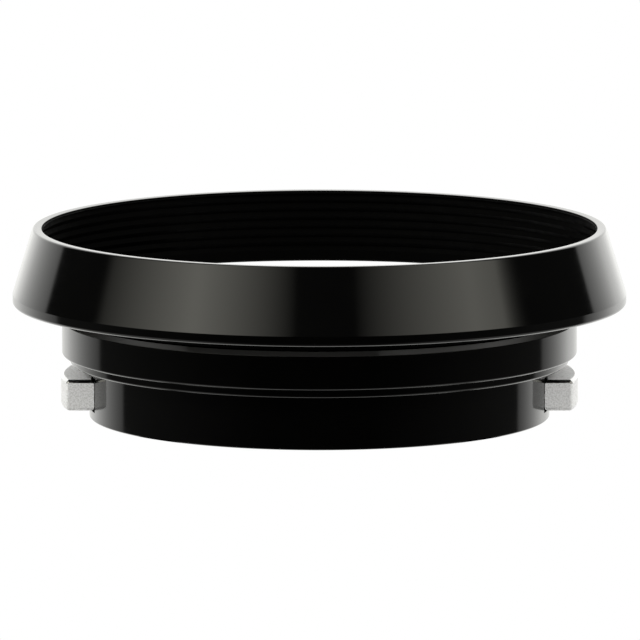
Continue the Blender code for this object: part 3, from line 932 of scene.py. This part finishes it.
def coil(bm, x_from, x_to, y):
    """Round wire wound along X, with its end turns closed up."""
    per_turn, around = 32, 12
    count = int(SPRING_TURNS * per_turn)
    first, last = x_from + WIRE_R, x_to - WIRE_R
    closed = 0.8 * per_turn
    end_rise = 1.7 * WIRE_R / per_turn
    rise = (last - first - 2 * closed * end_rise) / (count - 2 * closed)
    rings = []
    for i in range(count + 1):
        middle = min(max(i - closed, 0.0), count - 2 * closed)
        along = first + rise * middle + end_rise * (i - middle)
        angle = 2 * math.pi * i / per_turn
        outward = Vector((0.0, math.cos(angle), math.sin(angle)))
        centre = Vector((along, y, SPRING_Z)) + outward * SPRING_MEAN_R
        rings.append([])
        for k in range(around):
            turn = 2 * math.pi * k / around
            offset = (outward * math.cos(turn) + Vector((math.sin(turn), 0.0, 0.0))) * WIRE_R
            rings[-1].append(bm.verts.new(centre + offset))
    for a, b in zip(rings, rings[1:]):
        for k in range(around):
            bm.faces.new((a[k], a[k - 1], b[k - 1], b[k]))
    bm.faces.new(rings[0])
    bm.faces.new(reversed(rings[-1]))


def make_springs():
    """Each spring pushes from a guide screw's seat against an ear of its own latch ring."""
    ear_face = EAR_X + EAR_THICKNESS / 2 + SPRING_END_GAP
    seat_face = GUIDE_X - GUIDE_SEAT_R - SPRING_END_GAP
    for side, sign in (("left", 1), ("right", -1)):
        for place, y in (("near", -SPRING_Y), ("far", SPRING_Y)):
            low, high = sorted((sign * ear_face, sign * seat_face))
            name = f"{side}_spring_{place}"
            spring = solid(f"hood_{name}", lambda bm: coil(bm, low, high, y))
            dress(spring, "base", [name], [STEEL])
            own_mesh(spring)


# Screws.


def make_screw(name, body, finish, corners, place, slot_low, slot_high):
    """Turned about its own axis, with a slot across its head that points at the optical axis."""
    x, y = place

    def shaft(bm):
        spun(bm, rounded(corners), steps=SCREW_STEPS)
        loose = [edge for edge in bm.edges if not edge.link_faces]
        bmesh.ops.delete(bm, geom=loose, context="EDGES")

    screw = solid(f"hood_{name}", shaft)
    half = SLOT_WIDTH / 2

    def slot(bm):
        block(bm, (-2, -half, slot_low), (2, half, slot_high))

    combine(screw, slot, solver="EXACT")
    turned_to_axis = Matrix.Rotation(math.atan2(y, x), 4, "Z")
    screw.data.transform(Matrix.Translation((x * MM, y * MM, 0)) @ turned_to_axis)
    dress(screw, body, [name], [finish])


def make_guide_screws():
    """Countersunk head below, running shank through the latch rings and a seat for a spring."""
    head = COVER_BOTTOM + 0.05
    corners = [
        (0.0, GUIDE_TOP, 0.0),
        (GUIDE_SHANK_R, GUIDE_TOP, 0.12),
        (GUIDE_SHANK_R, GUIDE_SEAT_TOP, 0.02),
        (GUIDE_SEAT_R, GUIDE_SEAT_TOP, 0.06),
        (GUIDE_SEAT_R, GUIDE_SEAT_Z, 0.06),
        (GUIDE_SHANK_R, GUIDE_SEAT_Z, 0.02),
        (GUIDE_SHANK_R, head + GUIDE_HEAD_R - GUIDE_SHANK_R, 0.04),
        (GUIDE_HEAD_R, head, 0.05),
        (0.0, head, 0.0),
    ]
    for index, place in enumerate(guide_places()):
        name = f"guide_screw_{index + 1}"
        high = head + SLOT_DEPTH
        make_screw(name, "base", BLACK_STEEL, corners, place, head - 1, high)


def make_barrel_screws():
    head_top = SEAT_TOP - 0.05
    head_low = head_top - BARREL_SCREW_HEAD
    corners = [
        (0.0, head_top, 0.0),
        (BARREL_SCREW_HEAD_R, head_top, 0.10),
        (BARREL_SCREW_HEAD_R, head_low, 0.03),
        (BARREL_SCREW_R, head_low, 0.02),
        (BARREL_SCREW_R, BARREL_SCREW_BOTTOM, 0.08),
        (0.0, BARREL_SCREW_BOTTOM, 0.0),
    ]
    for index, place in enumerate(barrel_screw_places()):
        name = f"barrel_screw_{index + 1}"
        low = head_top - SLOT_DEPTH
        make_screw(name, "base", BLACK_STEEL, corners, place, low, head_top + 1)


def make_button_screws(side, ring_low, direction):
    head_top = ring_low - 0.02
    head_low = head_top - BUTTON_SCREW_HEAD
    tip = ring_low + RING_THICKNESS + LUG_GAP + BUTTON_SCREW_LENGTH - RUNNING_GAP
    corners = [
        (0.0, tip, 0.0),
        (BUTTON_SCREW_R, tip, 0.06),
        (BUTTON_SCREW_R, head_top, 0.02),
        (BUTTON_SCREW_HEAD_R, head_top, 0.03),
        (BUTTON_SCREW_HEAD_R, head_low, 0.08),
        (0.0, head_low, 0.0),
    ]
    body = f"{side}_release"
    for index, y in enumerate((-BUTTON_SCREW_Y, BUTTON_SCREW_Y)):
        name = f"{side}_button_screw_{index + 1}"
        place = (direction * BUTTON_SCREW_X, y)
        high = head_low + SLOT_DEPTH
        make_screw(name, body, STEEL, corners, place, head_low - 1, high)


# Studio. A bearing is 0 towards the camera's side and grows towards +X, and a height is above the
# horizon, both in degrees. A pair says where a slope starts and where it ends.

LEFT_BOX = 1.80
LEFT_RISE = (9.0, 49.0)
LEFT_FALL = (100.0, 52.0)
LEFT_FALL_CURVE = 1.2
LEFT_END = (96.0, 90.0)
RIGHT_BOX = 1.52
RIGHT_RISE = (14.0, 62.0)
RIGHT_FALL = (110.0, 64.0)
RIGHT_END = (90.0, 76.0)
RIGHT_END_CURVE = 3.0
BOX_BOTTOM = (4.0, 12.0)
BOX_TOP = (62.0, 50.0)
BOX_TINT = (1.0, 0.985, 0.88)

BACK_LEFT = 1.55
BACK_LEFT_RISE = (106.0, 155.0)
BACK_LEFT_EDGE = (123.5, 126.0)
BACK_LEFT_LOW_EDGE = (114.5, 117.5)
BACK_RIGHT = 1.58
BACK_RIGHT_RISE = (111.0, 148.0)
BACK_RIGHT_EDGE = (124.0, 126.0)
BACK_RIGHT_LOW_EDGE = (116.5, 119.5)
BACK_TOP = (70.0, 50.0)
BACK_BLUE = 0.975
LOW = (5.0, -3.0)
FADE_LOW = 0.41
FADE_LOW_BEARING = (140.0, 176.0)
FADE_LOW_HEIGHT = (-3.0, -8.5)
FADE_HIGH = 0.08
FADE_HIGH_BEARING = (164.0, 176.0)
FADE_HIGH_HEIGHT = (4.5, 7.5)

FRONT_LOW = 0.004
FRONT_HIGH = 0.022
FRONT_RISE = (0.0, 12.0)
FRONT_TOP = (60.0, 42.0)
LOW_SIDES = 0.045
LOW_SIDES_BEARING = (20.0, 110.0)
BELOW_FRONT = 0.034
BELOW_SIDE = 0.45
BELOW_BEARING = (25.0, 80.0)
BELOW_HEIGHT = (-15.0, -26.0)
OVERHEAD = 0.30
OVERHEAD_HEIGHT = (60.0, 75.0)
REST_BLUE = 0.96

FLOOR_HALF = 20.0
FLOOR_Z = -0.0002
SHADED_HALF = 0.020
SHADED_Z = -0.0004
CARD_HALF = 0.1
CARD_DISTANCE = 0.4
SIDE_CARD_WAY = (0.76, -0.21, 0.62)
SIDE_CARDS = 8.0
FRONT_CARD_WAY = (0.0, -0.98, -0.21)
FRONT_CARD = 4.0
WHITE = (1.0, 1.0, 1.0)
NEAR_BLACK = (0.01, 0.01, 0.01)


def sky_brightness(graph, bearing, height):
    """(boxes, back, rest) of the light by direction."""
    mirrored = graph.math("MULTIPLY", bearing, -1.0)
    aside = graph.math("ABSOLUTE", bearing)

    def slope(value, ends):
        return graph.ramp(value, *ends, kind="LINEAR")

    raised = graph.product(graph.ramp(height, *BOX_BOTTOM), graph.ramp(height, *BOX_TOP))
    left_fall = graph.math("POWER", slope(mirrored, LEFT_FALL), LEFT_FALL_CURVE)
    left_end = graph.ramp(mirrored, *LEFT_END)
    left_box = graph.product(LEFT_BOX, slope(mirrored, LEFT_RISE), left_fall, left_end, raised)
    right_end = graph.math("POWER", slope(bearing, RIGHT_END), RIGHT_END_CURVE)
    right_fall = slope(bearing, RIGHT_FALL)
    right_box = graph.product(RIGHT_BOX, slope(bearing, RIGHT_RISE), right_fall, right_end, raised)
    boxes = graph.total(left_box, right_box)

    low = graph.ramp(height, *LOW)
    left_low = graph.product(low, graph.ramp(mirrored, *BACK_LEFT_LOW_EDGE))
    right_low = graph.product(low, graph.ramp(bearing, *BACK_RIGHT_LOW_EDGE))
    left_edge = graph.math("MAXIMUM", graph.ramp(mirrored, *BACK_LEFT_EDGE), left_low)
    right_edge = graph.math("MAXIMUM", graph.ramp(bearing, *BACK_RIGHT_EDGE), right_low)
    left_back = graph.product(BACK_LEFT, slope(mirrored, BACK_LEFT_RISE), left_edge)
    right_back = graph.product(BACK_RIGHT, slope(bearing, BACK_RIGHT_RISE), right_edge)
    low_height = graph.ramp(height, *FADE_LOW_HEIGHT)
    high_height = graph.ramp(height, *FADE_HIGH_HEIGHT)
    behind_low = graph.product(slope(aside, FADE_LOW_BEARING), low_height, FADE_LOW)
    behind_high = graph.product(slope(aside, FADE_HIGH_BEARING), high_height, FADE_HIGH)
    fade = graph.math("SUBTRACT", 1.0, graph.total(behind_low, behind_high))
    back = graph.product(graph.total(left_back, right_back), fade, graph.ramp(height, *BACK_TOP))

    front_rise = graph.ramp(height, *FRONT_RISE, FRONT_LOW, FRONT_HIGH)
    front = graph.product(front_rise, graph.ramp(height, *FRONT_TOP))
    low_sides = graph.product(low, graph.ramp(aside, *LOW_SIDES_BEARING, 0.0, LOW_SIDES))
    below = graph.ramp(aside, *BELOW_BEARING, BELOW_FRONT, BELOW_SIDE)
    floor_glow = graph.product(graph.ramp(height, *BELOW_HEIGHT), below)
    overhead = graph.ramp(height, *OVERHEAD_HEIGHT, 0.0, OVERHEAD)
    return boxes, back, graph.total(front, low_sides, floor_glow, overhead)


def make_world():
    """Two soft boxes in front, a bright sweep behind, dark between them, and white to the camera."""
    world = bpy.data.worlds.new("studio")
    graph = Graph(world)
    direction = graph.node("ShaderNodeTexCoord").outputs["Generated"]
    x, y, z = graph.node("ShaderNodeSeparateXYZ", {"Vector": direction}).outputs
    bearing = graph.math("DEGREES", graph.math("ARCTAN2", x, graph.math("MULTIPLY", y, -1.0)))
    height = graph.math("DEGREES", graph.math("ARCSINE", z))
    boxes, back, rest = sky_brightness(graph, bearing, height)
    red, green, blue = BOX_TINT
    blue_back = graph.product(back, BACK_BLUE)
    blue_rest = graph.product(rest, REST_BLUE)
    colour = graph.combine(
        graph.total(graph.product(boxes, red), back, rest),
        graph.total(graph.product(boxes, green), back, rest),
        graph.total(graph.product(boxes, blue), blue_back, blue_rest),
    )
    path = graph.node("ShaderNodeLightPath")
    light = graph.node("ShaderNodeBackground", {"Color": colour, "Strength": 1.0})
    white = graph.node("ShaderNodeBackground", {"Color": (*WHITE, 1.0), "Strength": 1.0})
    mix = graph.node("ShaderNodeMixShader")
    graph.feed(path.outputs["Is Camera Ray"], mix.inputs[0])
    graph.feed(light.outputs[0], mix.inputs[1])
    graph.feed(white.outputs[0], mix.inputs[2])
    out = graph.node("ShaderNodeOutputWorld")
    graph.feed(mix.outputs[0], out.inputs["Surface"])
    bpy.context.scene.world = world


def sheet(name, half, colour, strength=1.0):
    """A level square that glows evenly. It isn't part of the object."""
    bm = bmesh.new()
    bmesh.ops.create_grid(bm, x_segments=1, y_segments=1, size=half)
    mesh = bpy.data.meshes.new(name)
    bm.to_mesh(mesh)
    bm.free()
    made = bpy.data.objects.new(name, mesh)
    bpy.context.scene.collection.objects.link(made)
    finish = bpy.data.materials.new(name)
    graph = Graph(finish)
    glow = graph.node("ShaderNodeEmission", {"Color": (*colour, 1.0), "Strength": strength})
    out = graph.node("ShaderNodeOutputMaterial")
    graph.feed(glow.outputs[0], out.inputs["Surface"])
    mesh.materials.append(finish)
    return made


def make_floor():
    """A white floor that only the camera sees, and under the hood a near-black sheet that the camera
    doesn't: a painted shadow on the floor there.
    """
    floor = sheet("floor", FLOOR_HALF, WHITE)
    floor.location.z = FLOOR_Z
    floor.visible_glossy = False
    floor.visible_diffuse = False
    floor.visible_shadow = False
    # Painted shadow: a near-black sheet where the hood's shade falls on the floor.
    shaded = sheet("painted_shadow_under_hood", SHADED_HALF, NEAR_BLACK)
    shaded.location.z = SHADED_Z
    shaded.visible_camera = False


def make_cards():
    """Cards that brighten the buttons: they light diffuse surfaces and have no reflection."""
    x, y, z = SIDE_CARD_WAY
    cards = {
        "fill_left": ((-x, y, z), SIDE_CARDS),
        "fill_right": ((x, y, z), SIDE_CARDS),
        "fill_front": (FRONT_CARD_WAY, FRONT_CARD),
    }
    for name, (way, strength) in cards.items():
        card = sheet(name, CARD_HALF, WHITE, strength)
        away = Vector(way).normalized()
        card.location = away * CARD_DISTANCE
        card.rotation_euler = away.to_track_quat("Z", "Y").to_euler()
        card.visible_camera = False
        card.visible_glossy = False


# Camera.

CAMERA_DISTANCE = 1.106
CAMERA_ELEVATION = 8.31
CAMERA_LENS = 561.0
CAMERA_TARGET = Vector((0.00006, 0.0, 0.01058))


def make_camera():
    camera = bpy.data.objects.new("camera", bpy.data.cameras.new("camera"))
    bpy.context.scene.collection.objects.link(camera)
    camera.data.sensor_width = 36.0
    camera.data.lens = CAMERA_LENS
    camera.data.clip_start = 0.01
    camera.data.clip_end = 100.0
    rise = math.radians(CAMERA_ELEVATION)
    back = Vector((0.0, -math.cos(rise), math.sin(rise)))
    camera.location = CAMERA_TARGET + back * CAMERA_DISTANCE
    camera.rotation_euler = (-back).to_track_quat("-Z", "Y").to_euler()
    bpy.context.scene.camera = camera


make_shade()
make_barrel()
make_collar()
make_cover()
make_button("left", LOWER_RING_Z, -1)
make_button("right", UPPER_RING_Z, 1)
make_latch_ring("left", LOWER_RING_Z, False, -1)
make_latch_ring("right", UPPER_RING_Z, True, 1)
make_springs()
make_guide_screws()
make_barrel_screws()
make_button_screws("left", LOWER_RING_Z, -1)
make_button_screws("right", UPPER_RING_Z, 1)
make_world()
make_floor()
make_cards()
make_camera()
bpy.context.scene.view_settings.view_transform = "Standard"
